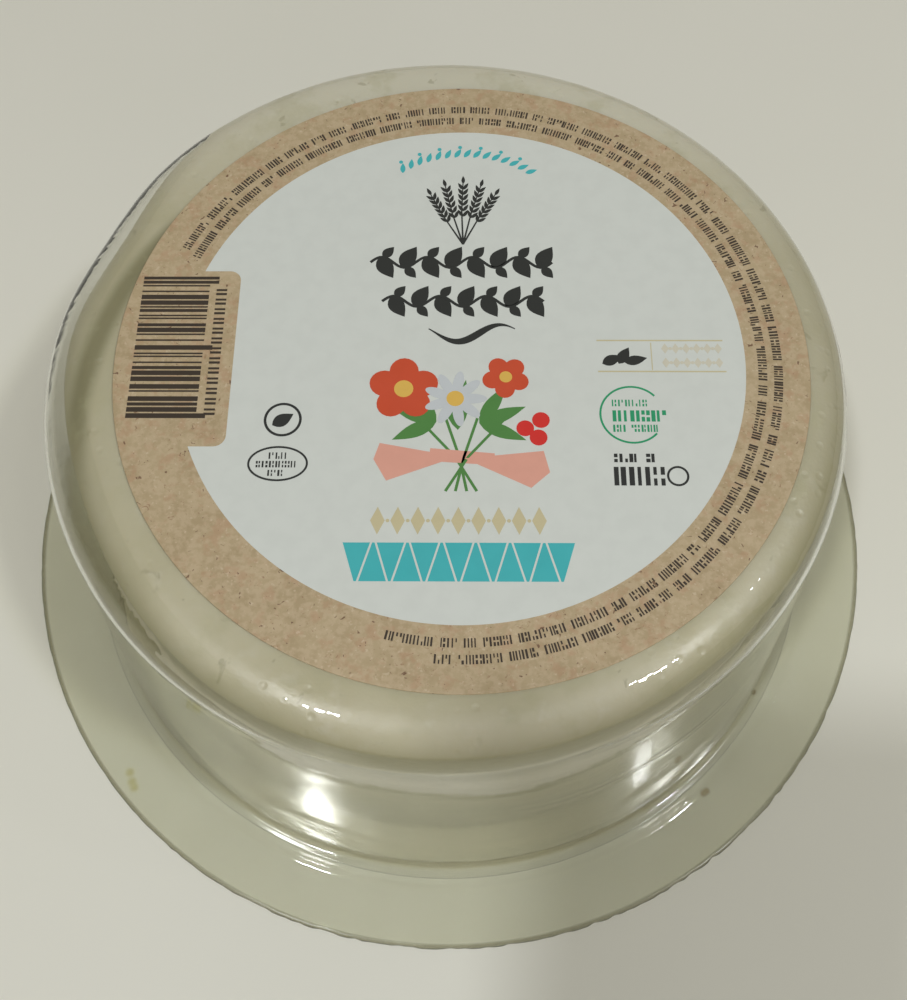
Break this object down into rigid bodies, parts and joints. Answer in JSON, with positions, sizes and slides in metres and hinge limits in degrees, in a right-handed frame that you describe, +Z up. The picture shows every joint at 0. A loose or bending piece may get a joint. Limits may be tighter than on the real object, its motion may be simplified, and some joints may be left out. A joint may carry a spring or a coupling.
{
  "type": "fresh cheese in a clear sealed tub",
  "caption": "Round soft white cheese sealed in a clear plastic tub, standing upside down on its wide flange, with a round paper label on top.",
  "frame": {"origin": "on the tub's axis, in the plane that the sealing film rests on", "axes": "+Z up along the tub's axis, from the film to the label; -Y towards the viewer who reads the label; +X to that viewer's right"},
  "size_m": [0.118, 0.118, 0.0459],
  "materials": {
    "lid_film": "clear sealing film",
    "clear_tub": "clear glossy thermoformed plastic with a faint green-grey tint",
    "cheese": "moist pale cream, faintly greenish through the plastic",
    "whey": "thin yellow-green whey",
    "label_paper": "satin paper, white disc in a speckled kraft ring"
  },
  "bodies": {
    "root": {"lid_film": "lid_film", "tub": "clear_tub", "cheese": "cheese", "whey": "whey", "label": "label_paper"}
  },
  "joints": []
}
